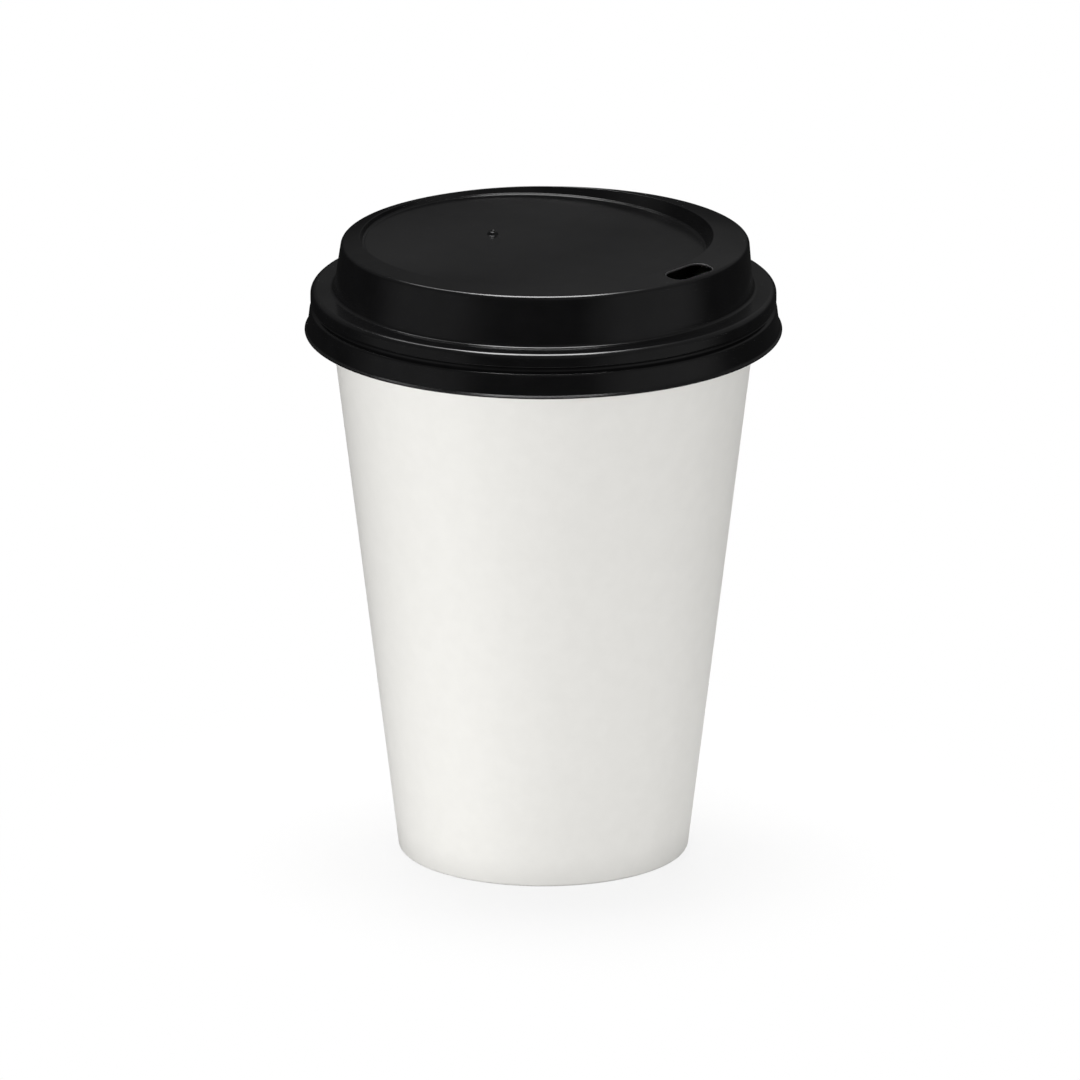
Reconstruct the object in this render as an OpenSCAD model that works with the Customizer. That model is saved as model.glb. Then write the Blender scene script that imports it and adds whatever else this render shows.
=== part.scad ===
// Paper cup for a hot drink, with a push-on dome lid.
// The origin is the centre of the foot, +Z runs up the cup, and the sip hole faces -Y.
// The paper wall is one sheet: hemmed at the foot, lapped at the side and rolled at the rim.

/* [Paper cup] */
// Height from the foot to the top of the rolled rim
cup_h = 115.2; // [90:0.1:140]
// Diameter over the rolled rim
rim_d = 89.8; // [84:0.1:96]
// Diameter of the outside of the wall, carried down to the foot
foot_d = 57.7; // [50:0.1:64]
// Thickness of the wall paper
wall_t = 0.35; // [0.25:0.01:0.5]
// Diameter of the roll of paper that forms the rim
roll_d = 2.4; // [2.2:0.1:3.2]

/* [Bottom disc] */
// Height of the top of the bottom disc above the foot
bottom_h = 7; // [5:0.1:12]
// Thickness of the bottom paper
bottom_t = 0.35; // [0.25:0.01:0.5]
// Outer radius of the bend between the disc and its turned-down skirt
bottom_bend_r = 0.9; // [0.7:0.05:1.5]

/* [Side seam] */
// Width over which the outer layer of the lapped seam runs out into the wall
seam_w = 9.5; // [6:0.5:14]

/* [Lid skirt] */
// Thickness of the lid's formed sheet
lid_t = 0.4; // [0.3:0.01:0.5]
// Height of the lid's skirt, from the top of its flange to the turn of its trim edge
skirt_h = 8.2; // [7:0.1:12]
// How far the groove under the bead lies below the top of the flange
groove_drop = 3.35; // [3:0.05:3.9]
// How far the bead around the rim stands out from the groove
bead_w = 0.85; // [0.7:0.05:1.2]
// How far the shoulder under the groove stands out from the groove
shoulder_w = 1; // [0.7:0.05:1.5]
// How far the skirt spreads from the shoulder down to the trim edge
skirt_flare = 0.5; // [0.2:0.05:1.5]
// Width of the trim edge that turns out at the bottom of the skirt
trim_w = 0.55; // [0.3:0.05:1.2]

/* [Lid dome] */
// Width of the flat flange, from the foot of the dome to the outside of the rim
flange_w = 3.3; // [2.5:0.1:5]
// Height of the dome's outer top edge above the flange
dome_h = 9.5; // [7:0.1:14]
// How far the dome's wall leans in on its way up
dome_lean = 1.1; // [0.3:0.1:2.5]
// Mean width of the ring around the recess
ring_w = 5.5; // [4.6:0.1:7]
// Slope of the ring's top, down towards the outside, in degrees
ring_slope = 9; // [4:0.5:14]

/* [Recess] */
// Depth of the recess below the inner edge of the ring, at its middle
recess_depth = 2.2; // [1.8:0.1:3.2]
// How far the recess lies off the lid's axis, away from the sip hole
recess_shift = 2.3; // [0:0.1:2.5]
// Fall of the recess floor towards the sip hole, in degrees
floor_fall = 1.8; // [0:0.1:2.2]
// Lean of the wall of the recess, in degrees from upright
recess_draft = 20; // [8:1:30]
// Width of the ledge around the floor of the recess
ledge_w = 0.4; // [0.4:0.1:3]
// Drop from that ledge to the floor
ledge_drop = 0.3; // [0.1:0.05:0.6]

/* [Sip hole and vent] */
// Length of the sip hole, along the ring
sip_l = 11.6; // [8:0.1:14]
// Width of the sip hole, across the ring
sip_w = 4.9; // [4.4:0.1:5.2]
// Distance of the sip hole's centre from the ring's outer edge
sip_inset = 3.4; // [3.4:0.1:3.8]
// Diameter of the vent hole
vent_d = 0.9; // [0.6:0.1:1.5]
// Height of the raised cone around the vent hole
vent_h = 0.7; // [0.1:0.05:0.8]
// Distance of the vent hole from the lid's axis
vent_y = 13; // [6:0.1:24]

/* [Bends in the lid's outer face] */
// Radius along the top edge of the dome
dome_bend = 0.9; // [0.5:0.05:1.5]
// Radius in the corner between dome and flange
foot_bend = 0.8; // [0.4:0.05:1.2]
// Radius of the bead around the rim
bead_bend = 1.1; // [0.6:0.05:1.4]
// Radius where the bead's side turns in to the groove
bead_foot_bend = 0.35; // [0.1:0.05:0.5]
// Radius in the groove under the bead
groove_bend = 0.3; // [0.2:0.05:0.5]
// Radius of the shoulder under the groove
shoulder_bend = 0.4; // [0.1:0.05:0.6]
// Radius where the skirt turns out into the trim edge
trim_bend = 0.3; // [0.1:0.05:0.4]
// Radius around the foot of the recess wall
recess_bend = 0.4; // [0.4:0.05:1.2]
// Radius of the two small bends at the ledge
ledge_bend = 0.25; // [0.1:0.05:0.3]
// Width of the eased edge between the ring and the recess
edge_ease = 0.4; // [0.1:0.05:0.6]

/* [Fits] */
// Gap between layers of paper that are sealed to each other
paper_gap = 0.05; // [0.02:0.01:0.1]
// Gap between the rolled rim and the lid around it
rim_gap = 0.1; // [0.05:0.01:0.3]

/* [Hidden] */
$fn = 180;
small_fn = 48;
corner_steps = 5;

// Paper cup
rim_r = rim_d / 2;
foot_r = foot_d / 2;
roll_r = roll_d / 2;
roll_z = cup_h - roll_r;
// the wall runs from the foot and ends as a tangent of the roll
roll_span = rim_r - roll_r - foot_r;
wall_lean = atan2(roll_span, roll_z) - asin((roll_r - wall_t) / norm([roll_span, roll_z]));
// positions along the slanted wall, measured from the foot
roll_v = roll_span * sin(wall_lean) + roll_z * cos(wall_lean);
hem_r = (2 * wall_t + bottom_t + 2 * paper_gap) / 2;
foot_flat = 0.05;
hem_v = (hem_r * (1 - sin(wall_lean)) - foot_flat) / cos(wall_lean);
// the end of the roll tucks in below its own first turn
tuck = wall_t + paper_gap;
tuck_r = roll_r - tuck;

// Bottom disc
bend_z = bottom_h - bottom_bend_r;
bend_in = wall_t + paper_gap + bottom_bend_r;
bend_v = (bend_z - bend_in * sin(wall_lean)) / cos(wall_lean);
bend_x = foot_r - bend_in * cos(wall_lean) + bend_v * sin(wall_lean);
skirt_v = hem_v + paper_gap;
hem_top_v = bend_v - 2 * paper_gap;

// Side seam
seam_low = 2 * hem_r;
seam_high = cup_h - roll_d - wall_t;
seam_mid_r = wall_r((seam_low + seam_high) / 2);
seam_turn = seam_w / seam_mid_r * 180 / PI;
seam_shift = wall_t * (2 * seam_mid_r + wall_t) / (2 * (wall_t + seam_mid_r * (1 - cos(seam_turn))));

// Lid, from the rim outwards and upwards, with the leans measured from upright
flange_z = cup_h + rim_gap + lid_t;
groove_r = rim_r + rim_gap + lid_t;
groove_lean = 62;
trim_fall = 0.5;
// the two sides of the groove lean alike, and its corner lies behind its round bottom
groove_corner = [groove_r + groove_bend - groove_bend / cos(groove_lean), flange_z - groove_drop];
bead_r = groove_r + bead_w;
bead_foot = [bead_r, groove_corner[1] + (bead_r - groove_corner[0]) / tan(groove_lean)];
shoulder_r = groove_r + shoulder_w;
shoulder_corner = [shoulder_r, groove_corner[1] - (shoulder_r - groove_corner[0]) / tan(groove_lean)];
trim_corner = [shoulder_r + skirt_flare, flange_z - skirt_h];
trim_end = trim_corner + trim_w * [1, -trim_fall];
dome_foot = [rim_r - flange_w, flange_z];
dome_edge = [dome_foot[0] - dome_lean, flange_z + dome_h];
// the recess takes away all that lies inside the crown of the ring
crown_x = dome_edge[0] - 2 * ring_w;
crown_z = dome_edge[1] + (dome_edge[0] - crown_x) * tan(ring_slope);

// corners of the lid's outer face, each with the radius of its bend
lid_corners = [
    [0, crown_z, 0],
    [crown_x, crown_z, 0],
    [dome_edge[0], dome_edge[1], dome_bend],
    [dome_foot[0], dome_foot[1], foot_bend],
    [bead_r, flange_z, bead_bend],
    [bead_foot[0], bead_foot[1], bead_foot_bend],
    [groove_corner[0], groove_corner[1], groove_bend],
    [shoulder_corner[0], shoulder_corner[1], shoulder_bend],
    [trim_corner[0], trim_corner[1], trim_bend],
    [trim_end[0], trim_end[1], 0]
];

// Recess, in its own frame on the sloping floor
recess_r = dome_edge[0] - ring_w;
recess_z = dome_edge[1] + ring_w * tan(ring_slope) - recess_depth;
recess_foot = recess_r - recess_depth * tan(recess_draft);
recess_rise = 2 * recess_depth + 2 * ring_w * tan(ring_slope) + recess_r * sin(floor_fall);
ledge_x = recess_foot - recess_bend - ledge_w;
recess_corners = [
    [0, -ledge_drop, 0],
    [ledge_x - ledge_drop, -ledge_drop, ledge_bend],
    [ledge_x, 0, ledge_bend],
    [recess_foot, 0, recess_bend],
    [recess_foot + recess_rise * tan(recess_draft), recess_rise, 0]
];
vent_spread = 2;
vent_top_r = (vent_d + lid_t) / 2;
vent_foot_r = vent_top_r + vent_spread * (vent_h + lid_t / 2);
// the edge between the ring and the recess lies in a plane that rises towards the sip hole
edge_shift = (recess_shift - tan(recess_draft) * recess_r * sin(floor_fall))
    / (1 + tan(recess_draft) * tan(ring_slope));
edge_rise = atan(tan(ring_slope) * edge_shift / recess_r);
edge_low = [recess_r - edge_ease * sin(recess_draft), -edge_ease * cos(recess_draft)];
edge_high = [recess_r + edge_ease * cos(ring_slope), -edge_ease * sin(ring_slope)];
edge_spread = (edge_high[0] - edge_low[0]) / (edge_high[1] - edge_low[1]);

// outside radius of the paper wall at a height
function wall_r(z) = foot_r + z * tan(wall_lean);

function unit(v) = v / norm(v);
function at(p) = [p[0], p[1]];
// the side of a path that lies to the right of its run
function right_of(p, q) = let (d = unit(at(q) - at(p))) [d[1], -d[0]];
function turns_left(p, q, s) = cross(at(q) - at(p), at(s) - at(q)) > 0;

// a path moved to its right by t, with the radius of each bend changed to match
function beside(path, t) = [
    for (i = [0 : len(path) - 1])
        let (
            last = len(path) - 1,
            n1 = right_of(path[max(i - 1, 0)], path[max(i, 1)]),
            n2 = right_of(path[min(i, last - 1)], path[min(i + 1, last)]),
            q = at(path[i]) + t * (n1 + n2) / (1 + n1 * n2),
            left = i > 0 && i < last && turns_left(path[i - 1], path[i], path[i + 1]),
            bend = path[i][2] == 0 ? 0 : max(path[i][2] + (left ? t : -t), 0)
        )
        [q[0], q[1], bend]
];

// the arc that rounds the corner q between p and s
function bend_arc(p, q, s) =
    let (
        to_p = unit(at(p) - at(q)),
        to_s = unit(at(s) - at(q)),
        half = acos(to_p * to_s) / 2,
        middle = at(q) + unit(to_p + to_s) * q[2] / sin(half),
        first = at(q) + to_p * q[2] / tan(half) - middle,
        last = at(q) + to_s * q[2] / tan(half) - middle,
        from = atan2(first[1], first[0]),
        step = atan2(cross(first, last), first * last) / corner_steps
    )
    [for (k = [0 : corner_steps]) middle + q[2] * [cos(from + k * step), sin(from + k * step)]];

function rounded(path) = [
    for (i = [0 : len(path) - 1])
        each path[i][2] == 0 ? [at(path[i])] : bend_arc(path[i - 1], path[i], path[i + 1])
];

module along_wall() {
    translate([foot_r, 0])
        rotate(-wall_lean)
            children();
}

module ring_2d(outer_r, thickness) {
    difference() {
        circle(outer_r, $fn = small_fn);
        circle(outer_r - thickness, $fn = small_fn);
    }
}

// the wall paper in section: sheet, hem at the foot and roll at the rim
module wall_section() {
    translate([-wall_t, hem_v])
        square([wall_t, roll_v - hem_v]);
    translate([-2 * hem_r, hem_v])
        square([wall_t, hem_top_v - hem_v]);
    translate([-hem_r, hem_v])
        difference() {
            ring_2d(hem_r, wall_t);
            translate([-2 * hem_r, 0])
                square([4 * hem_r, 2 * hem_r]);
        }
    translate([roll_r - wall_t, roll_v]) {
        difference() {
            ring_2d(roll_r, wall_t);
            translate([-roll_d, -roll_d])
                square(roll_d);
        }
        translate([0, -tuck])
            difference() {
                ring_2d(tuck_r, wall_t);
                translate([0, -roll_d])
                    square([roll_d, 2 * roll_d]);
            }
    }
}

// the outer layer of the lapped seam, which runs out into the wall on one side
module seam_layer() {
    seam_h = seam_high - seam_low;
    low_r = wall_r(seam_low);
    high_r = wall_r(seam_high);
    difference() {
        intersection() {
            translate([0, seam_shift, seam_low])
                cylinder(h = seam_h, r1 = low_r + wall_t - seam_shift, r2 = high_r + wall_t - seam_shift);
            translate([0, 0, seam_low])
                cube([rim_r, rim_r, seam_h]);
        }
        translate([0, 0, seam_low - wall_t])
            cylinder(
                h = seam_h + 2 * wall_t,
                r1 = wall_r(seam_low - wall_t) - wall_t / 2,
                r2 = wall_r(seam_high + wall_t) - wall_t / 2
            );
    }
}

module cup_wall() {
    color("#f6f5f2") {
        rotate_extrude()
            difference() {
                along_wall()
                    wall_section();
                translate([0, -cup_h])
                    square([rim_r, cup_h]);
            }
        seam_layer();
    }
}

module cup_bottom() {
    color("#f1efea")
        rotate_extrude() {
            translate([0, bottom_h - bottom_t])
                square([bend_x, bottom_t]);
            translate([bend_x, bend_z])
                intersection() {
                    ring_2d(bottom_bend_r, bottom_t);
                    polygon([
                        [0, 0],
                        [bottom_h, -bottom_h * tan(wall_lean)],
                        [bottom_h, bottom_h],
                        [0, bottom_h]
                    ]);
                }
            along_wall()
                translate([-wall_t - paper_gap - bottom_t, skirt_v])
                    square([bottom_t, bend_v - skirt_v]);
        }
}

module recess_frame() {
    translate([0, recess_shift, recess_z])
        rotate([floor_fall, 0, 0])
            children();
}

// a recess turned from the outline of its floor and wall
module recess_solid(corners) {
    rotate_extrude()
        polygon(concat(rounded(corners), [[0, recess_rise]]));
}

module edge_cut() {
    top = edge_low + 4 * edge_ease * [edge_spread, 1];
    translate([0, edge_shift, recess_z + recess_depth])
        rotate([-edge_rise, 0, 0])
            rotate_extrude()
                polygon([[0, edge_low[1]], edge_low, top, [0, top[1]]]);
}

module lid_outside() {
    under = beside(lid_corners, lid_t);
    end = at(under[len(under) - 1]);
    rotate_extrude()
        polygon(concat(rounded(lid_corners), [end, [0, end[1]]]));
}

module lid_inside() {
    under = beside(lid_corners, lid_t);
    end = at(under[len(under) - 1]);
    rotate_extrude()
        polygon(concat(rounded(under), [end - [0, lid_t], [0, end[1] - lid_t]]));
}

module sip_hole() {
    straight = sip_l - sip_w;
    translate([0, sip_inset - dome_edge[0], dome_edge[1] - 3 * lid_t])
        linear_extrude(height = dome_h) {
            square([straight, sip_w], center = true);
            for (side = [-1, 1])
                translate([side * straight / 2, 0])
                    circle(sip_w / 2, $fn = small_fn);
        }
}

module lid() {
    color("#1b1b1c")
        difference() {
            union() {
                difference() {
                    lid_outside();
                    recess_frame()
                        recess_solid(recess_corners);
                    edge_cut();
                    difference() {
                        lid_inside();
                        recess_frame()
                            recess_solid(beside(recess_corners, lid_t));
                    }
                }
                recess_frame()
                    translate([0, vent_y - recess_shift, -ledge_drop - lid_t / 2])
                        cylinder(h = vent_h + lid_t / 2, r1 = vent_foot_r, r2 = vent_top_r, $fn = small_fn);
            }
            sip_hole();
            recess_frame()
                translate([0, vent_y - recess_shift, -recess_depth])
                    cylinder(h = 2 * recess_depth, d = vent_d, $fn = small_fn);
        }
}

cup_wall();
cup_bottom();
lid();
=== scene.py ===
import math

import bmesh
import bpy
import numpy as np
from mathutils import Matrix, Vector

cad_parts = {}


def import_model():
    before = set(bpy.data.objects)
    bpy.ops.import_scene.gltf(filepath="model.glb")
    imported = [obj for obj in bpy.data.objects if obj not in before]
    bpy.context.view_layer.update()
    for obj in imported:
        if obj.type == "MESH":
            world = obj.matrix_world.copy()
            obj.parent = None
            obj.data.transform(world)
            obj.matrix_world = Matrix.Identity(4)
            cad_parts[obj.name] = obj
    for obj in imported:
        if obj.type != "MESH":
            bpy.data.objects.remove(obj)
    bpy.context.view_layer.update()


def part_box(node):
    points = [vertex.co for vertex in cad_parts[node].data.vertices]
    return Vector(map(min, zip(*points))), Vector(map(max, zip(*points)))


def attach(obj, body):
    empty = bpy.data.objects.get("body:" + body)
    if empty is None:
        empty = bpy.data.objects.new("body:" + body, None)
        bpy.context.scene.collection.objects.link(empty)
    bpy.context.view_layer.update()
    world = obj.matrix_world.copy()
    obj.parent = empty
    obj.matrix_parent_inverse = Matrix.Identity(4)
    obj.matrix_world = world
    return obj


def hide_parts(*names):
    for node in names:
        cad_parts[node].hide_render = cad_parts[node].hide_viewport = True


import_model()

# Sizes of the cup and lid, in millimetres as in the construction, with angles in degrees.
MM = 0.001

# Paper cup
CUP_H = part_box("cup_wall")[1].z / MM
RIM_R = 44.9
FOOT_R = 28.85
WALL_T = 0.35
ROLL_R = 1.2
PAPER_GAP = 0.05
FOOT_FLAT = 0.05

# Bottom disc
BOTTOM_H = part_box("cup_bottom")[1].z / MM
BOTTOM_T = 0.35
BOTTOM_BEND_R = 0.9

# Lapped side seam
SEAM_W = 9.5
SEAM_FADE = 1.2

# Lid
LID_T = 0.4
RIM_GAP = 0.1
SKIRT_H = 8.2
GROOVE_DROP = 3.35
GROOVE_LEAN = 62
BEAD_W = 0.85
SHOULDER_W = 1.0
SKIRT_FLARE = 0.5
TRIM_W = 0.55
TRIM_FALL = 0.5
FLANGE_W = 3.3
DOME_H = 9.5
DOME_LEAN = 1.1
RING_W = 5.5
RING_SLOPE = 9

# The formed dome isn't quite true: its outer edge stands higher on one side, and a little off the axis
EDGE_RISE = 0.65
EDGE_RISE_AZIMUTH = -40
EDGE_SHIFT = (0.22, -0.27)

# Recess in the lid
RECESS_DEPTH = 2.2
RECESS_SHIFT = 2.3
FLOOR_FALL = 1.8
RECESS_DRAFT = 20
LEDGE_W = 0.4
LEDGE_DROP = 0.12

# The floor of the recess is a little twisted, by up to an eighth of the measure here
FLOOR_TWIST = 2.4
FLOOR_TWIST_AZIMUTH = -50

# Sip hole and vent
SIP_L = 11.6
SIP_W = 4.9
SIP_INSET = 3.4
VENT_R = 0.45
VENT_H = 0.7
VENT_CROWN = 0.3
VENT_SHOULDER = 0.95
VENT_SPREAD = 0.55
VENT_TOP_BEND = 0.25
VENT_BEND = 0.08
VENT_Y = 13

# The edge of the sip hole from face to face, as how far each line of it lies outside the hole and above
# the ring's slope, and two more lines before it, as shares of the way back to the grid
SIP_LIP = [
    (0.24, 0),
    (0.2, 0.008),
    (0.16, 0.015),
    (0.11, 0.015),
    (0.05, -0.01),
    (0, -0.08),
    (0, -0.3),
    (0.05, -LID_T),
    (0.25, -LID_T),
]
SIP_APPROACH = (0.67, 0.33)

# Bends of the lid's outer face
DOME_BEND = 0.9
FOOT_BEND = 0.8
BEAD_BEND = 1.1
BEAD_FOOT_BEND = 0.35
GROOVE_BEND = 0.45
SHOULDER_BEND = 0.6
TRIM_BEND = 0.3
RECESS_BEND = 0.07
LEDGE_BEND = 0.04
RING_BEND = 0.15
CUT_BEND = 0.1

# Mesh of the lid, with the number of points on each straight stretch of its outline
LID_COLUMNS = 220
SIP_COLUMN_DEG = 0.5
SIP_PATCH_DEG = 10.5
PATCH_MARGIN = 1.02
BEND_STEPS = 8
SUPPORT = 0.12
VENT_POINTS = [2, 1, 2, 8]
FACE_POINTS = [3, 3, 4, 7, 6, 4, 3, 2, 2, 5, 2]
TRIM_POINTS = [1]
BORE_POINTS = [6]
EDGE_SEARCHES = 40

# Places in lists: of two corners of the lid's face, and of the bands around the sip hole that are cut
RING_CORNER = 3
DOME_CORNER = 4
CUT_BANDS = range(5, 9)

# Mesh of the cup
CUP_COLUMNS = 240
HEM_TOP_POINTS = 6
HEM_STEPS = 14
WALL_POINTS = 60
ROLL_STEPS = 30
CURL_STEPS = 16
BOTTOM_POINTS = 16
BOTTOM_BEND_STEPS = 10
BOTTOM_SKIRT_POINTS = 6

# Columns over the lapped seam, with angles in radians and shares of the lap's own angle
SEAM_COLUMNS = 14
SEAM_STEP = 1e-4
LAP_START = 0.01
LAP_END = 1.1
LAP_CLEAR = 1.15
LAP_REACH = 1.2

TINY = 1e-6
WELD = 1e-7
LID_CREASE = 50
WALL_CREASE = 35
BOTTOM_CREASE = 50


def unit(v):
    return v / np.linalg.norm(v, axis=-1, keepdims=True)


def tan(degrees):
    return math.tan(math.radians(degrees))


def make_mesh(name, points, faces, materials, crease, face_materials=None):
    """An object from points in millimetres, smooth apart from edges sharper than the crease angle."""
    mesh = bpy.data.meshes.new(name)
    mesh.from_pydata((np.asarray(points) * MM).tolist(), [], faces)
    piece = bpy.data.objects.new(name, mesh)
    bpy.context.scene.collection.objects.link(piece)
    for material in materials:
        mesh.materials.append(material)
    if face_materials is not None:
        mesh.polygons.foreach_set("material_index", face_materials)
    shape = bmesh.new()
    shape.from_mesh(mesh)
    bmesh.ops.remove_doubles(shape, verts=shape.verts, dist=WELD)
    bmesh.ops.recalc_face_normals(shape, faces=shape.faces)
    shape.to_mesh(mesh)
    shape.free()
    mesh.shade_smooth()
    mesh.set_sharp_from_angle(angle=math.radians(crease))
    return piece


def grid_faces(columns, rows, skip=()):
    """Quads of a grid that closes on itself both ways, without the skipped (column, row) pairs."""
    faces = []
    for c in range(columns):
        here, beyond = c * rows, (c + 1) % columns * rows
        for r in range(rows):
            if (c, r) not in skip:
                up = (r + 1) % rows
                faces.append((here + r, beyond + r, beyond + up, here + up))
    return faces


def beside(path, t):
    """A path of [x, z, bend] moved to its right by t, with the radius of each bend changed to match."""
    points = np.array([p[:2] for p in path], float)
    run = unit(np.diff(points, axis=0))
    right = np.stack([run[:, 1], -run[:, 0]], 1)
    before = np.vstack([right[:1], right])
    after = np.vstack([right, right[-1:]])
    moved = points + t * (before + after) / (1 + (before * after).sum(1, keepdims=True))
    turn = before[:, 0] * after[:, 1] - before[:, 1] * after[:, 0]
    bends = [max(p[2] + t * np.sign(side), CUT_BEND) if p[2] else 0 for p, side in zip(path, turn)]
    return [[x, z, bend] for (x, z), bend in zip(moved, bends)]


def rounded_loop(corners, bends, gaps):
    """Closed outlines, one for each column, with corners as an array of columns by corners by x, y, z.
    Each corner gets an arc of its bend, and the straight stretch after it as many points as gaps says.
    Returns the points and the row where each corner's arc starts."""
    count = len(bends)
    before = unit(np.roll(corners, 1, axis=1) - corners)
    after = unit(np.roll(corners, -1, axis=1) - corners)
    half = np.arccos(np.clip((before * after).sum(-1, keepdims=True), -1, 1)) / 2
    bend = np.array(bends)[None, :, None]
    middle = corners + unit(before + after) * bend / np.sin(half)
    start = corners + before * bend / np.tan(half)
    end = corners + after * bend / np.tan(half)
    rows, starts = [], []
    for i in range(count):
        starts.append(len(rows))
        if bends[i]:
            swing = math.pi - 2 * half[:, i]
            for k in np.linspace(0, 1, BEND_STEPS + 1):
                first = np.sin((1 - k) * swing) * (start[:, i] - middle[:, i])
                last = np.sin(k * swing) * (end[:, i] - middle[:, i])
                rows.append(middle[:, i] + (first + last) / np.sin(swing))
        else:
            rows.append(corners[:, i])
        stretch = start[:, (i + 1) % count] - end[:, i]
        length = np.linalg.norm(stretch, axis=-1, keepdims=True)
        near = np.minimum(SUPPORT / length, 1 / (gaps[i] + 1))
        for k in range(gaps[i]):
            share = near + (1 - 2 * near) * k / (gaps[i] - 1) if gaps[i] > 1 else 0.5
            rows.append(end[:, i] + share * stretch)
    return np.stack(rows, 1), starts


# Lid
flange_z = CUP_H + RIM_GAP + LID_T
dome_edge = [RIM_R - FLANGE_W - DOME_LEAN, flange_z + DOME_H, DOME_BEND]
recess_r = dome_edge[0] - RING_W
recess_z = dome_edge[1] + RING_W * tan(RING_SLOPE) - RECESS_DEPTH
recess_foot = recess_r - RECESS_DEPTH * tan(RECESS_DRAFT)
ledge_x = recess_foot - RECESS_BEND - LEDGE_W
crest_shift = RECESS_SHIFT - tan(RECESS_DRAFT) * recess_r * math.sin(math.radians(FLOOR_FALL))
crest_shift /= 1 + tan(RECESS_DRAFT) * tan(RING_SLOPE)


def edge_rise(x, y):
    """How far the outer edge of the dome stands above its mean height, in the direction of a place."""
    turn = math.radians(EDGE_RISE_AZIMUTH)
    return EDGE_RISE * (x * math.sin(turn) - y * math.cos(turn)) / np.hypot(x, y)


def floor_twist(x, y):
    """How far the floor of the recess stands above its mean plane, at a place from its middle."""
    turn = math.radians(FLOOR_TWIST_AZIMUTH)
    across = (x * math.cos(turn) + y * math.sin(turn)) / ledge_x
    along = (y * math.cos(turn) - x * math.sin(turn)) / ledge_x
    return -FLOOR_TWIST * across * along * np.clip(1 - across**2 - along**2, 0, 1)


def lid_path():
    """The lid's outer face from the ring to the trim edge, as [radius, height, bend]."""
    groove_r = RIM_R + RIM_GAP + LID_T
    corner_r = groove_r + GROOVE_BEND - GROOVE_BEND / math.cos(math.radians(GROOVE_LEAN))
    groove_z = flange_z - GROOVE_DROP
    bead_r, shoulder_r = groove_r + BEAD_W, groove_r + SHOULDER_W
    bead = [bead_r, flange_z, BEAD_BEND]
    bead_foot = [bead_r, groove_z + (bead_r - corner_r) / tan(GROOVE_LEAN), BEAD_FOOT_BEND]
    groove = [corner_r, groove_z, GROOVE_BEND]
    shoulder = [shoulder_r, groove_z - (shoulder_r - corner_r) / tan(GROOVE_LEAN), SHOULDER_BEND]
    trim = [shoulder_r + SKIRT_FLARE, flange_z - SKIRT_H, TRIM_BEND]
    trim_end = [trim[0] + TRIM_W, trim[1] - TRIM_W * TRIM_FALL, CUT_BEND]
    crown = [0, dome_edge[1] + dome_edge[0] * tan(RING_SLOPE), 0]
    foot = [RIM_R - FLANGE_W, flange_z, FOOT_BEND]
    return [crown, dome_edge, foot, bead, bead_foot, groove, shoulder, trim, trim_end]


def recess_path():
    """The recess from floor to wall, as [radius, height, bend] in the frame of the sloping floor."""
    return [
        [0, -LEDGE_DROP, 0],
        [ledge_x - LEDGE_DROP, -LEDGE_DROP, LEDGE_BEND],
        [ledge_x, 0, LEDGE_BEND],
        [recess_foot, 0, RECESS_BEND],
        [recess_foot + RECESS_DEPTH * tan(RECESS_DRAFT), RECESS_DEPTH, 0],
    ]


def in_recess(x, y, z):
    """Points of the recess's own frame, which is tilted and off the axis, in the lid's frame."""
    fall = math.radians(FLOOR_FALL)
    y, z = y * math.cos(fall) - z * math.sin(fall), y * math.sin(fall) + z * math.cos(fall)
    return np.stack(np.broadcast_arrays(x, y + RECESS_SHIFT, z + recess_z), -1)


def ring_height(x, y, depth):
    """Height of the ring's slope at a place, on the outer face or at a depth below it."""
    level = dome_edge[1] - depth / math.cos(math.radians(RING_SLOPE))
    r = np.hypot(x, y)
    along = y / r
    crest = crest_shift * along + np.sqrt(recess_r**2 - crest_shift**2 * (1 - along**2))
    share = np.clip((r - crest) / (dome_edge[0] - crest), 0, 1)
    return level + (dome_edge[0] - r) * tan(RING_SLOPE) + share * edge_rise(x, y)


def ring_inner_edge(foot_r, foot_h, depth, angles):
    """Where the wall of the recess, which starts at its foot, meets the ring's slope."""
    low, high = np.zeros_like(angles), np.full_like(angles, 4 * RECESS_DEPTH)
    for _ in range(EDGE_SEARCHES):
        h = (low + high) / 2
        r = foot_r + (h - foot_h) * tan(RECESS_DRAFT)
        p = in_recess(r * np.cos(angles), r * np.sin(angles), h)
        above = p[:, 2] > ring_height(p[:, 0], p[:, 1], depth)
        low, high = np.where(above, low, h), np.where(above, h, high)
    return p


def lid_side(angles, depth):
    """Corners of one face of the lid's sheet, from the floor of the recess out to the trim edge."""
    across, along = np.cos(angles), np.sin(angles)
    recess = beside(recess_path(), depth)
    corners, bends = [], []
    for r, h, bend in recess[1:4]:
        corners.append(in_recess(r * across, r * along, h))
        bends.append(min(bend, LEDGE_W / 2))
    foot_r, foot_h = recess[3][:2]
    edge = ring_inner_edge(foot_r, foot_h, depth, angles)
    corners.append(edge)
    bends.append(max(RING_BEND - depth, CUT_BEND))
    turn = np.arctan2(edge[:, 1], edge[:, 0])
    for r, h, bend in beside(lid_path(), depth)[1:]:
        corners.append(np.stack([r * np.cos(turn), r * np.sin(turn), np.full_like(turn, h)], 1))
        bends.append(bend)
    corners[DOME_CORNER][:, 2] += edge_rise(edge[:, 0], edge[:, 1])
    corners[DOME_CORNER][:, :2] += EDGE_SHIFT
    return corners, bends


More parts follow.
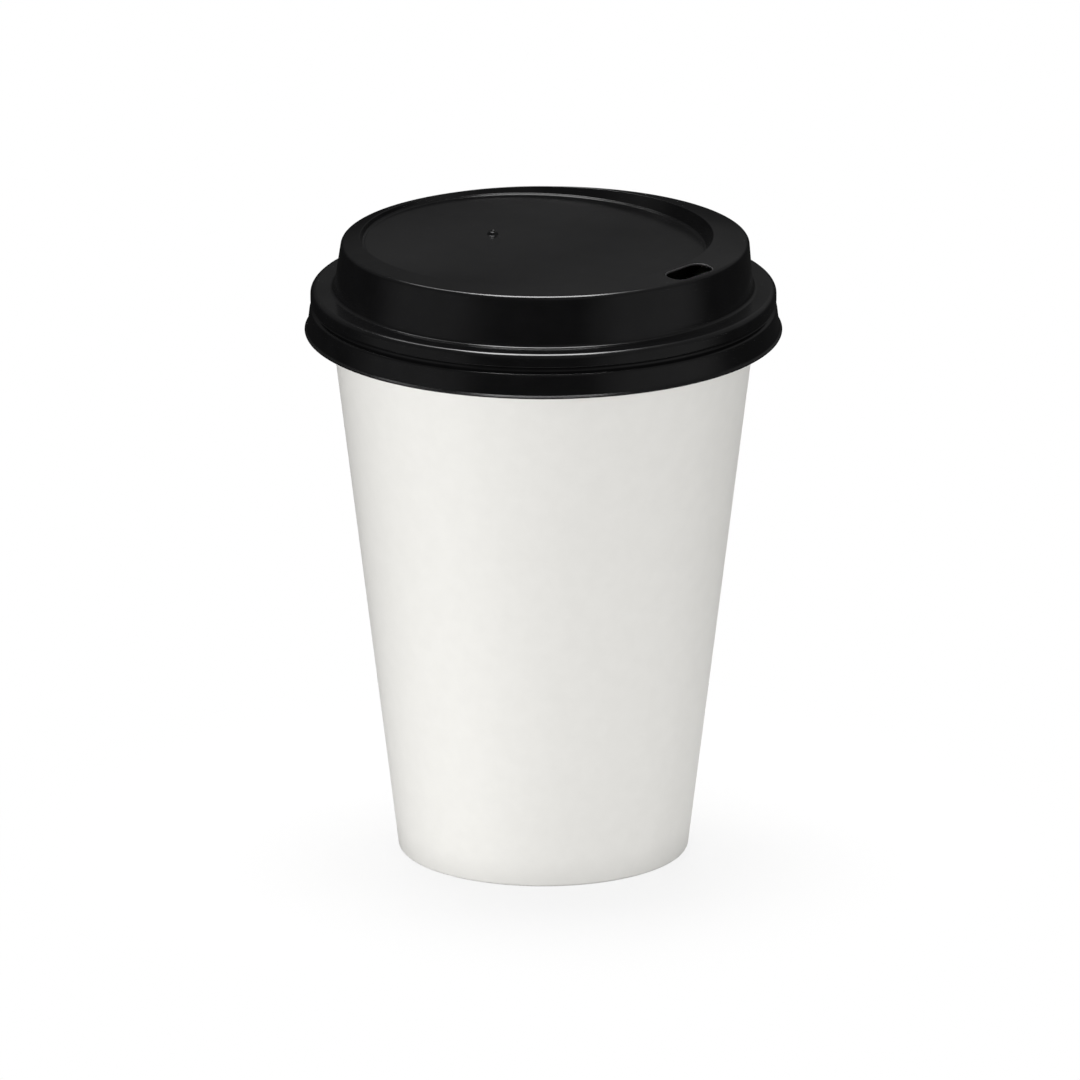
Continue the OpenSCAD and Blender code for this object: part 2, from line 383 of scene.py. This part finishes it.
def vent_side(angles):
    """Corners of the vent, from the bottom of its bore to the foot of its raised cone."""
    y = VENT_Y - RECESS_SHIFT
    top_r = VENT_R + VENT_CROWN
    foot_r = top_r + VENT_SPREAD * VENT_H
    path = [
        [VENT_R, -LEDGE_DROP - LID_T, CUT_BEND],
        [VENT_R, VENT_H - LEDGE_DROP, CUT_BEND],
        [top_r, VENT_SHOULDER * VENT_H - LEDGE_DROP, VENT_TOP_BEND],
        [foot_r, -LEDGE_DROP, VENT_BEND],
    ]
    corners = [in_recess(r * np.cos(angles), y + r * np.sin(angles), h) for r, h, bend in path]
    return corners, [bend for r, h, bend in path]


def obround(directions, width):
    """Points on the sip hole's outline, widened to the width given, in each direction from its centre."""
    straight = (SIP_L - SIP_W) / 2
    radius = width / 2
    dx, dy = np.abs(directions[:, 0]), np.abs(directions[:, 1])
    flat = radius / np.maximum(dy, TINY)
    square = dx * dx + dy * dy
    shift = dx * straight
    inside = np.maximum(shift**2 - square * (straight**2 - radius**2), 0)
    round_end = (shift + np.sqrt(inside)) / square
    reach = np.where(flat * dx <= straight, flat, round_end)
    return directions * reach[:, None]


def sip_loops(outer_edge, inner_edge):
    """Loops of points from the outer face's edge through the sip hole to the inner face's edge."""
    centre = np.array([0, SIP_INSET - dome_edge[0]])
    directions = unit(outer_edge[:, :2] - centre)
    loops = []
    for grow, rise in SIP_LIP:
        xy = centre + obround(directions, SIP_W + 2 * grow)
        loops.append(np.column_stack([xy, ring_height(xy[:, 0], xy[:, 1], 0) + rise]))
    reach = loops[0][:, :2] - outer_edge[:, :2]
    for share in SIP_APPROACH:
        xy = outer_edge[:, :2] + share * reach
        loops.insert(0, np.column_stack([xy, ring_height(xy[:, 0], xy[:, 1], 0)]))
    xy = (inner_edge[:, :2] + loops[-1][:, :2]) / 2
    loops[-1][:, 2] = ring_height(loops[-1][:, 0], loops[-1][:, 1], LID_T)
    loops.append(np.column_stack([xy, ring_height(xy[:, 0], xy[:, 1], LID_T)]))
    return loops


def lid_columns():
    """Angles of the lid's columns, closer together at the sip hole, and which of them are there."""
    plain = np.linspace(0, 2 * math.pi, LID_COLUMNS, endpoint=False)
    sip = -math.pi / 2
    patch = math.radians(SIP_PATCH_DEG)
    away = np.abs((plain - sip + math.pi) % (2 * math.pi) - math.pi)
    fine_count = 2 * round(SIP_PATCH_DEG / SIP_COLUMN_DEG) + 1
    fine = np.linspace(sip - patch, sip + patch, fine_count) % (2 * math.pi)
    angles = np.sort(np.concatenate([plain[away > patch * PATCH_MARGIN], fine]))
    inside = [c for c, a in enumerate(angles) if abs(a - (sip + 2 * math.pi)) <= patch + TINY]
    return angles, inside


def opening_edge(inside, first, final):
    """Grid places (column, row) around the ring's opening, from the row on its inner side to the outer."""
    step = 1 if final > first else -1
    edge = [(c, first) for c in inside]
    edge += [(inside[-1], r) for r in range(first + step, final, step)]
    edge += [(c, final) for c in inside[::-1]]
    edge += [(inside[0], r) for r in range(final - step, first, -step)]
    return edge


def lid(plastic, cut_plastic):
    """The lid as one closed sheet, with the sip hole let into its ring."""
    angles, inside = lid_columns()
    vent, vent_bends = vent_side(angles)
    outer, outer_bends = lid_side(angles, 0)
    inner, inner_bends = lid_side(angles, LID_T)
    corners = np.stack(vent + outer + inner[::-1], 1)
    gaps = VENT_POINTS + FACE_POINTS + TRIM_POINTS + FACE_POINTS[::-1] + BORE_POINTS
    points, starts = rounded_loop(corners, vent_bends + outer_bends + inner_bends[::-1], gaps)
    points[..., 2] += floor_twist(points[..., 0], points[..., 1] - RECESS_SHIFT)
    columns, rows = points.shape[:2]

    # the grid, open where the sip hole goes through the ring on both faces
    ring = len(vent) + RING_CORNER
    under_ring = len(gaps) - 1 - RING_CORNER
    top = range(starts[ring] + BEND_STEPS, starts[ring + 1])
    under = range(starts[under_ring - 1] + BEND_STEPS, starts[under_ring])
    skip = {(c, r) for c in inside[:-1] for r in [*top, *under]}
    faces = grid_faces(columns, rows, skip)
    cut = [0] * len(faces)

    # the bands of faces from one opening through the sip hole to the other
    outer_edge = opening_edge(inside, top[0], top[-1] + 1)
    inner_edge = opening_edge(inside, under[-1] + 1, under[0])
    loops = sip_loops(
        np.array([points[place] for place in outer_edge]),
        np.array([points[place] for place in inner_edge]),
    )
    around = len(outer_edge)
    chain = [[c * rows + r for c, r in outer_edge]]
    for i in range(len(loops)):
        first = columns * rows + i * around
        chain.append(list(range(first, first + around)))
    chain.append([c * rows + r for c, r in inner_edge])
    for band, (a, b) in enumerate(zip(chain, chain[1:])):
        faces += [(a[i], a[(i + 1) % around], b[(i + 1) % around], b[i]) for i in range(around)]
        cut += [int(band in CUT_BANDS)] * around

    every_point = np.vstack([points.reshape(-1, 3), *loops])
    piece = make_mesh("dome_lid", every_point, faces, [plastic, cut_plastic], LID_CREASE, cut)
    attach(piece, "lid")
    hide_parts("lid")


# Paper cup
roll_span = RIM_R - ROLL_R - FOOT_R
roll_z = CUP_H - ROLL_R
wall_lean = math.atan2(roll_span, roll_z) - math.asin((ROLL_R - WALL_T) / math.hypot(roll_span, roll_z))
hem_r = (2 * WALL_T + BOTTOM_T + 2 * PAPER_GAP) / 2
hem_v = (hem_r * (1 - math.sin(wall_lean)) - FOOT_FLAT) / math.cos(wall_lean)
roll_v = roll_span * math.sin(wall_lean) + roll_z * math.cos(wall_lean)
bend_z = BOTTOM_H - BOTTOM_BEND_R
bend_in = WALL_T + PAPER_GAP + BOTTOM_BEND_R
bend_v = (bend_z - bend_in * math.sin(wall_lean)) / math.cos(wall_lean)


def along_wall(u, v):
    """A point beside the slanted wall, u outwards from it and v up it, as radius and height."""
    return (
        FOOT_R + u * math.cos(wall_lean) + v * math.sin(wall_lean),
        -u * math.sin(wall_lean) + v * math.cos(wall_lean),
    )


def arc(centre, radius, start, end, steps):
    """Points of an arc from one angle to another, in degrees."""
    turn = np.radians(np.linspace(start, end, steps + 1))
    return [(centre[0] + radius * math.cos(a), centre[1] + radius * math.sin(a)) for a in turn]


def strip(middle, thickness):
    """The closed outline of a sheet with its middle on the points, along one side and back on the other."""
    middle = np.array(middle)
    run = unit(np.gradient(middle, axis=0))
    right = np.stack([run[:, 1], -run[:, 0]], 1) * thickness / 2
    return np.vstack([middle + right, (middle - right)[::-1]])


def straight(a, b, count):
    """Points between two others, close to both ends and evenly spread."""
    a, b = np.array(a, float), np.array(b, float)
    near = SUPPORT / np.linalg.norm(b - a)
    return [tuple(a + (b - a) * share) for share in np.linspace(near, 1 - near, count)]


def revolve(outline, angles, radius_change=0):
    """Points of an outline of radius and height turned about the axis, as an array of columns by rows."""
    r = np.broadcast_to(outline[:, 0], (len(angles), len(outline))) + radius_change
    z = np.broadcast_to(outline[:, 1], r.shape)
    return np.stack([r * np.cos(angles)[:, None], r * np.sin(angles)[:, None], z], -1)


def wall_middle():
    """The middle of the wall's sheet from its hem to the end of its rolled rim, as along_wall has it."""
    half = WALL_T / 2
    hem_top_v = bend_v - 2 * PAPER_GAP
    tuck = WALL_T + PAPER_GAP
    roll = (ROLL_R - WALL_T, roll_v)
    curl = (roll[0], roll[1] - tuck)
    middle = straight((-2 * hem_r + half, hem_top_v), (-2 * hem_r + half, hem_v), HEM_TOP_POINTS)
    middle += arc((-hem_r, hem_v), hem_r - half, 180, 360, HEM_STEPS)
    middle += straight((-half, hem_v), (-half, roll_v), WALL_POINTS)
    middle += arc(roll, ROLL_R - half, 180, -90, ROLL_STEPS)
    middle += arc(curl, ROLL_R - tuck - half, -90, -270, CURL_STEPS)[1:]
    return middle


def cup_wall(paper, cut_paper):
    """The wall with its lapped seam: the outer layer ends in a step at +Y and runs out on the +X side."""
    middle = wall_middle()
    uv = strip(middle, WALL_T)
    outline = np.array([along_wall(u, v) for u, v in uv])
    outline[:, 1] = np.maximum(outline[:, 1], 0)

    # the columns, closer together over the lap
    low, high = 2 * hem_r, CUP_H - 2 * ROLL_R - WALL_T
    mid_r = FOOT_R + (low + high) / 2 * math.tan(wall_lean)
    turn = SEAM_W / mid_r
    on_seam = np.linspace(LAP_START, LAP_END, SEAM_COLUMNS) * turn
    seam = math.pi / 2 - np.array([-SEAM_STEP, SEAM_STEP, *on_seam])
    plain = np.linspace(0, 2 * math.pi, CUP_COLUMNS, endpoint=False)
    plain = plain[(plain > math.pi / 2 + 2 * SEAM_STEP) | (plain < math.pi / 2 - LAP_CLEAR * turn)]
    angles = np.sort(np.concatenate([plain, seam]))

    # how far the outer layer stands out
    shift = WALL_T * (2 * mid_r + WALL_T) / (2 * (WALL_T + mid_r * (1 - math.cos(turn))))
    from_step = math.pi / 2 - angles[:, None]
    on_lap = (from_step > 0) & (from_step < LAP_REACH * turn)
    r = outline[None, :, 0]
    aside = shift * np.sin(from_step)
    lap_r = shift * np.cos(from_step) + np.sqrt((r + WALL_T - shift) ** 2 - aside**2)
    fade = np.clip(np.minimum(outline[:, 1] - low, high - outline[:, 1]) / SEAM_FADE, 0, 1)
    fade = fade * fade * (3 - 2 * fade) * (np.abs(uv[:, 0]) < TINY)
    lap = np.where(on_lap, np.maximum(lap_r - r, 0), 0) * fade[None, :]
    points = revolve(outline, angles, lap)

    columns, rows = points.shape[:2]
    step_column = int(np.argmin(np.abs(from_step[:, 0] - SEAM_STEP)))
    end_rows = {len(middle) - 1, rows - 1}
    faces = grid_faces(columns, rows)
    cut = [int(i // rows == step_column or i % rows in end_rows) for i in range(len(faces))]
    every_point = points.reshape(-1, 3)
    piece = make_mesh("paper_wall", every_point, faces, [paper, cut_paper], WALL_CREASE, cut)
    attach(piece, "cup")
    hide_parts("cup_wall")


def cup_bottom(paper):
    """The bottom disc, with its bend and its turned-down skirt."""
    half = BOTTOM_T / 2
    bend_x = FOOT_R - bend_in * math.cos(wall_lean) + bend_v * math.sin(wall_lean)
    u = -WALL_T - PAPER_GAP - half
    skirt_top, skirt_foot = along_wall(u, bend_v), along_wall(u, hem_v + PAPER_GAP)
    centre, rim = (0, BOTTOM_H - half), (bend_x, BOTTOM_H - half)
    middle = [centre] + straight(centre, rim, BOTTOM_POINTS)
    down = -math.degrees(wall_lean)
    middle += arc((bend_x, bend_z), BOTTOM_BEND_R - half, 90, down, BOTTOM_BEND_STEPS)
    middle += straight(skirt_top, skirt_foot, BOTTOM_SKIRT_POINTS)
    outline = strip(middle, BOTTOM_T)
    angles = np.linspace(0, 2 * math.pi, CUP_COLUMNS, endpoint=False)
    points = revolve(outline, angles)
    columns, rows = points.shape[:2]
    axis_gap = {(c, rows - 1) for c in range(columns)}
    faces = grid_faces(columns, rows, axis_gap)
    piece = make_mesh("paper_bottom", points.reshape(-1, 3), faces, [paper], BOTTOM_CREASE)
    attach(piece, "cup")
    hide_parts("cup_bottom")


# Materials, with the sizes of their features and the depths of their bumps in millimetres
NOISE_RANGE = (0.3, 0.7)
BLEND_RANGE = (0.35, 0.65)
MOTTLE, MOTTLE_BUMP = 3.5, 0.02
FIBRE, FIBRE_BUMP = 0.35, 0.008
PAPER_ROUGH_SPREAD = (-0.04, 0.05)
PAPER_SPECULAR = 0.4
SAG, SAG_BUMP = 40, 1.3
PEEL, PEEL_BUMP = 0.8, 0.0015
CLOUD, CLOUD_LIGHTER = 5, 1.3
PLASTIC_ROUGH_SPREAD = (0, 0.06)
PLASTIC_SPECULAR = 0.6


def node_material(name):
    """A new material, its nodes, its links and its main shader."""
    material = bpy.data.materials.new(name)
    material.use_nodes = True
    tree = material.node_tree
    return material, tree.nodes, tree.links, tree.nodes["Principled BSDF"]


def noise(nodes, links, place, feature_mm, detail=4, rough=0.6):
    """A noise whose features have the size given, in millimetres."""
    node = nodes.new("ShaderNodeTexNoise")
    node.inputs["Scale"].default_value = 1 / (feature_mm * MM)
    node.inputs["Detail"].default_value = detail
    node.inputs["Roughness"].default_value = rough
    links.new(place, node.inputs["Vector"])
    return node.outputs["Fac"]


def spread(nodes, links, value, low, high, socket):
    """Maps a noise to a range of numbers and gives it to a socket."""
    node = nodes.new("ShaderNodeMapRange")
    node.inputs["From Min"].default_value, node.inputs["From Max"].default_value = NOISE_RANGE
    node.inputs["To Min"].default_value = low
    node.inputs["To Max"].default_value = high
    links.new(value, node.inputs["Value"])
    links.new(node.outputs["Result"], socket)


def between(nodes, links, value, first, second, socket):
    """Blends two colours by a noise and gives the result to a socket."""
    node = nodes.new("ShaderNodeValToRGB")
    for element, position, color in zip(node.color_ramp.elements, BLEND_RANGE, (first, second)):
        element.position = position
        element.color = (*color, 1)
    links.new(value, node.inputs["Fac"])
    links.new(node.outputs["Color"], socket)


def bump(nodes, links, height, distance_mm, socket, under=None):
    """A bump of a real depth, in millimetres, over another one or over the plain surface."""
    node = nodes.new("ShaderNodeBump")
    node.inputs["Distance"].default_value = distance_mm * MM
    links.new(height, node.inputs["Height"])
    if under is not None:
        links.new(under, node.inputs["Normal"])
    if socket is not None:
        links.new(node.outputs["Normal"], socket)
    return node.outputs["Normal"]


def paper_material(name, light, dark, rough):
    """Coated paper: a faint cloudy mottle, fine fibres and a soft sheen."""
    material, nodes, links, shader = node_material(name)
    place = nodes.new("ShaderNodeTexCoord").outputs["Object"]
    mottle = noise(nodes, links, place, MOTTLE, detail=5, rough=0.55)
    fibre = noise(nodes, links, place, FIBRE, detail=3, rough=0.7)
    between(nodes, links, mottle, dark, light, shader.inputs["Base Color"])
    low, high = [rough + change for change in PAPER_ROUGH_SPREAD]
    spread(nodes, links, fibre, low, high, shader.inputs["Roughness"])
    cloudy = bump(nodes, links, mottle, MOTTLE_BUMP, None)
    bump(nodes, links, fibre, FIBRE_BUMP, shader.inputs["Normal"], cloudy)
    shader.inputs["Specular IOR Level"].default_value = PAPER_SPECULAR
    return material


def plastic_material(name, dark, rough):
    """Black formed sheet: semi-gloss, with a very fine orange peel and soft unevenness."""
    material, nodes, links, shader = node_material(name)
    place = nodes.new("ShaderNodeTexCoord").outputs["Object"]
    sag = noise(nodes, links, place, SAG, detail=1, rough=0.4)
    peel = noise(nodes, links, place, PEEL, detail=3, rough=0.6)
    cloud = noise(nodes, links, place, CLOUD, detail=4, rough=0.6)
    light = [CLOUD_LIGHTER * tone for tone in dark]
    between(nodes, links, cloud, dark, light, shader.inputs["Base Color"])
    low, high = [rough + change for change in PLASTIC_ROUGH_SPREAD]
    spread(nodes, links, peel, low, high, shader.inputs["Roughness"])
    soft = bump(nodes, links, sag, SAG_BUMP, None)
    bump(nodes, links, peel, PEEL_BUMP, shader.inputs["Normal"], soft)
    shader.inputs["Specular IOR Level"].default_value = PLASTIC_SPECULAR
    return material


# Studio, in metres
LAMP_AIM = (0, 0, 0.07)

# The camera, as found from the outline of the cup and the ellipses of the lid in the photo
CAMERA_AZIMUTH = -50.8
CAMERA_ELEVATION = 17.36
CAMERA_DISTANCE = 5.0
LOOK_HEIGHT = 0.06315
LOOK_LEFT = 0.00068
PHOTO_SIZE = 1080
FOCAL_PIXELS = 25127
SENSOR_WIDTH = 36
NEAR_CLIP, FAR_CLIP = 0.1, 50

# The table: how pale it is to other rays and to the camera, and the share of the cup's shadow that the
# camera sees on it, which fades out between two distances from the axis
STAGE_R = 0.12
TABLE_GAP = 0.05 * MM
TABLE_COLUMNS = 96
TABLE_RINGS = 24
TABLE_ROUGH = 0.9
TABLE_UNSEEN, TABLE_SEEN = 0.3, 0.9
SHADOW_SHARE = 0.18
SHADOW_REACH = (0.02, 0.11)

# The room that the cup is in: its levels of light by height, then by side, and its glows as azimuth
# from the camera, elevation, reach and strength
ROOM_HEIGHTS, ROOM_LEVELS = (0.08, 0.44), (0.013, 0.1)
ROOM_SIDES, ROOM_SHARES = (-0.08, 0.08), (0.65, 1.25)
GLOWS = [(-68, -12, 40, 0.13), (62, -12, 42, 0.18)]
GLOW_CORE = 0.98


def toward(azimuth, elevation):
    """The direction from the object to a place around it, with azimuth as in the views."""
    a, e = math.radians(azimuth), math.radians(elevation)
    return Vector((math.sin(a) * math.cos(e), -math.cos(a) * math.cos(e), math.sin(e)))


def level_between(nodes, links, value, limits, levels):
    """A smooth step from one level to another while a value passes between its limits."""
    step = nodes.new("ShaderNodeMapRange")
    step.interpolation_type = "SMOOTHSTEP"
    step.inputs["From Min"].default_value, step.inputs["From Max"].default_value = limits
    step.inputs["To Min"].default_value, step.inputs["To Max"].default_value = levels
    links.new(value, step.inputs["Value"])
    return step.outputs["Result"]


def cosine(nodes, links, sight, direction):
    """How much a line of sight runs in a direction, as the cosine of the angle between them."""
    node = nodes.new("ShaderNodeVectorMath")
    node.operation = "DOT_PRODUCT"
    node.inputs[1].default_value = direction
    links.new(sight, node.inputs[0])
    return node.outputs["Value"]


def combine(nodes, links, operation, first, second):
    """The sum or the product of two values, as the operation says."""
    node = nodes.new("ShaderNodeMath")
    node.operation = operation
    links.new(first, node.inputs[0])
    links.new(second, node.inputs[1])
    return node.outputs["Value"]


def table_mesh():
    """A round flat disc on the ground plane, in metres."""
    angles = np.linspace(0, 2 * math.pi, TABLE_COLUMNS, endpoint=False)
    radii = np.linspace(0, STAGE_R, TABLE_RINGS + 1)[1:]
    points = [(0, 0, 0)] + [(r * math.cos(a), r * math.sin(a), 0) for r in radii for a in angles]
    beyond = [(i + 1) % TABLE_COLUMNS for i in range(TABLE_COLUMNS)]
    faces = [(0, 1 + i, 1 + j) for i, j in enumerate(beyond)]
    for ring in range(TABLE_RINGS - 1):
        a = 1 + ring * TABLE_COLUMNS
        b = a + TABLE_COLUMNS
        faces += [(a + i, b + i, b + j, a + j) for i, j in enumerate(beyond)]
    mesh = bpy.data.meshes.new("table_top")
    mesh.from_pydata(points, [], faces)
    return mesh


def table_material():
    """Nearly as white as the background to the camera, with a share of the cup's shadow near its foot."""
    material, nodes, links, shader = node_material("table_white")
    shader.inputs["Roughness"].default_value = TABLE_ROUGH
    shader.inputs["Specular IOR Level"].default_value = 0
    seen_by_camera = nodes.new("ShaderNodeLightPath").outputs["Is Camera Ray"]
    tones = (TABLE_UNSEEN, TABLE_SEEN)
    tone = level_between(nodes, links, seen_by_camera, (0, 1), tones)
    links.new(tone, shader.inputs["Base Color"])
    white = nodes.new("ShaderNodeEmission")
    white.inputs["Color"].default_value = (1, 1, 1, 1)
    white.inputs["Strength"].default_value = 1
    place = nodes.new("ShaderNodeTexCoord").outputs["Object"]
    reach = nodes.new("ShaderNodeVectorMath")
    reach.operation = "LENGTH"
    links.new(place, reach.inputs[0])
    shares = (1 - SHADOW_SHARE, 1)
    share = level_between(nodes, links, reach.outputs["Value"], SHADOW_REACH, shares)
    mix = nodes.new("ShaderNodeMixShader")
    links.new(combine(nodes, links, "MULTIPLY", seen_by_camera, share), mix.inputs["Fac"])
    links.new(shader.outputs["BSDF"], mix.inputs[1])
    links.new(white.outputs["Emission"], mix.inputs[2])
    links.new(mix.outputs["Shader"], nodes["Material Output"].inputs["Surface"])
    return material


def floor():
    """The table top that the cup stands on."""
    mesh = table_mesh()
    table = bpy.data.objects.new("table_top", mesh)
    table.location.z = -TABLE_GAP
    bpy.context.scene.collection.objects.link(table)
    mesh.materials.append(table_material())


def world():
    """White to the camera. To everything else it is a dim grey room, darker towards its floor and to the
    left, with a soft glow on each side."""
    room = bpy.data.worlds.new("studio")
    bpy.context.scene.world = room
    room.use_nodes = True
    nodes, links = room.node_tree.nodes, room.node_tree.links
    sight = nodes.new("ShaderNodeTexCoord").outputs["Generated"]
    height = cosine(nodes, links, sight, (0, 0, 1))
    aside = cosine(nodes, links, sight, toward(CAMERA_AZIMUTH + 90, 0))
    upper = level_between(nodes, links, height, ROOM_HEIGHTS, ROOM_LEVELS)
    side = level_between(nodes, links, aside, ROOM_SIDES, ROOM_SHARES)
    light = combine(nodes, links, "MULTIPLY", upper, side)
    for azimuth, elevation, reach, glow in GLOWS:
        near = cosine(nodes, links, sight, toward(CAMERA_AZIMUTH + azimuth, elevation))
        limits = (math.cos(math.radians(reach)), GLOW_CORE)
        bright = level_between(nodes, links, near, limits, (0, glow))
        light = combine(nodes, links, "ADD", light, bright)
    dim = nodes["Background"]
    dim.inputs["Color"].default_value = (1, 1, 1, 1)
    links.new(light, dim.inputs["Strength"])
    white = nodes.new("ShaderNodeBackground")
    white.inputs["Color"].default_value = (1, 1, 1, 1)
    white.inputs["Strength"].default_value = 1
    rays = nodes.new("ShaderNodeLightPath")
    mix = nodes.new("ShaderNodeMixShader")
    links.new(rays.outputs["Is Camera Ray"], mix.inputs["Fac"])
    links.new(dim.outputs["Background"], mix.inputs[1])
    links.new(white.outputs["Background"], mix.inputs[2])
    links.new(mix.outputs["Shader"], nodes["World Output"].inputs["Surface"])


def softbox(name, azimuth, elevation, distance, size, watts, glare=True):
    """A soft lamp in a direction from the object, with azimuth as in the views. Without glare it only
    fills, and isn't mirrored."""
    data = bpy.data.lights.new(name, "AREA")
    data.shape = "RECTANGLE"
    data.size, data.size_y = size
    data.energy = watts
    lamp = bpy.data.objects.new(name, data)
    bpy.context.scene.collection.objects.link(lamp)
    away = toward(azimuth, elevation)
    lamp.location = Vector(LAMP_AIM) + away * distance
    lamp.rotation_mode = "QUATERNION"
    lamp.rotation_quaternion = away.to_track_quat("Z", "Y")
    lamp.visible_camera = False
    lamp.visible_glossy = glare


def camera():
    """The camera that took the photo, as far as it can be told."""
    data = bpy.data.cameras.new("camera")
    data.sensor_width = SENSOR_WIDTH
    data.lens = FOCAL_PIXELS * data.sensor_width / PHOTO_SIZE
    data.clip_start, data.clip_end = NEAR_CLIP, FAR_CLIP
    eye = bpy.data.objects.new("camera", data)
    bpy.context.scene.collection.objects.link(eye)
    away = toward(CAMERA_AZIMUTH, CAMERA_ELEVATION)
    left = toward(CAMERA_AZIMUTH - 90, 0)
    eye.location = Vector((0, 0, LOOK_HEIGHT)) + left * LOOK_LEFT + away * CAMERA_DISTANCE
    eye.rotation_mode = "QUATERNION"
    eye.rotation_quaternion = away.to_track_quat("Z", "Y")
    bpy.context.scene.camera = eye


bpy.context.scene.view_settings.view_transform = "Standard"
camera()
world()
floor()
softbox("top_light", CAMERA_AZIMUTH - 170, 80, 1.1, (0.6, 0.6), 12.9)
softbox("left_light", CAMERA_AZIMUTH - 136, 58, 1.1, (0.3, 0.3), 0.8)
softbox("left_fill", CAMERA_AZIMUTH - 64, 4, 1.3, (0.8, 0.5), 6.4, glare=False)
softbox("front_fill", CAMERA_AZIMUTH - 20, 5, 1.3, (0.8, 0.5), 11.5, glare=False)
softbox("right_fill", CAMERA_AZIMUTH + 85, 4, 1.3, (0.8, 0.5), 10.2, glare=False)
softbox("back_fill", CAMERA_AZIMUTH + 180, 4, 1.3, (0.5, 0.5), 7, glare=False)

wall_paper = paper_material("wall_paper", (0.867, 0.857, 0.824), (0.85, 0.84, 0.807), 0.5)
bottom_paper = paper_material("bottom_paper", (0.84, 0.83, 0.80), (0.82, 0.81, 0.775), 0.55)
cut_paper = paper_material("cut_paper", (0.78, 0.76, 0.71), (0.72, 0.70, 0.64), 0.8)
plastic = plastic_material("lid_plastic", (0.0036, 0.0036, 0.0038), 0.15)
cut_plastic = plastic_material("cut_plastic", (0.028, 0.028, 0.029), 0.4)
lid(plastic, cut_plastic)
cup_wall(wall_paper, cut_paper)
cup_bottom(bottom_paper)
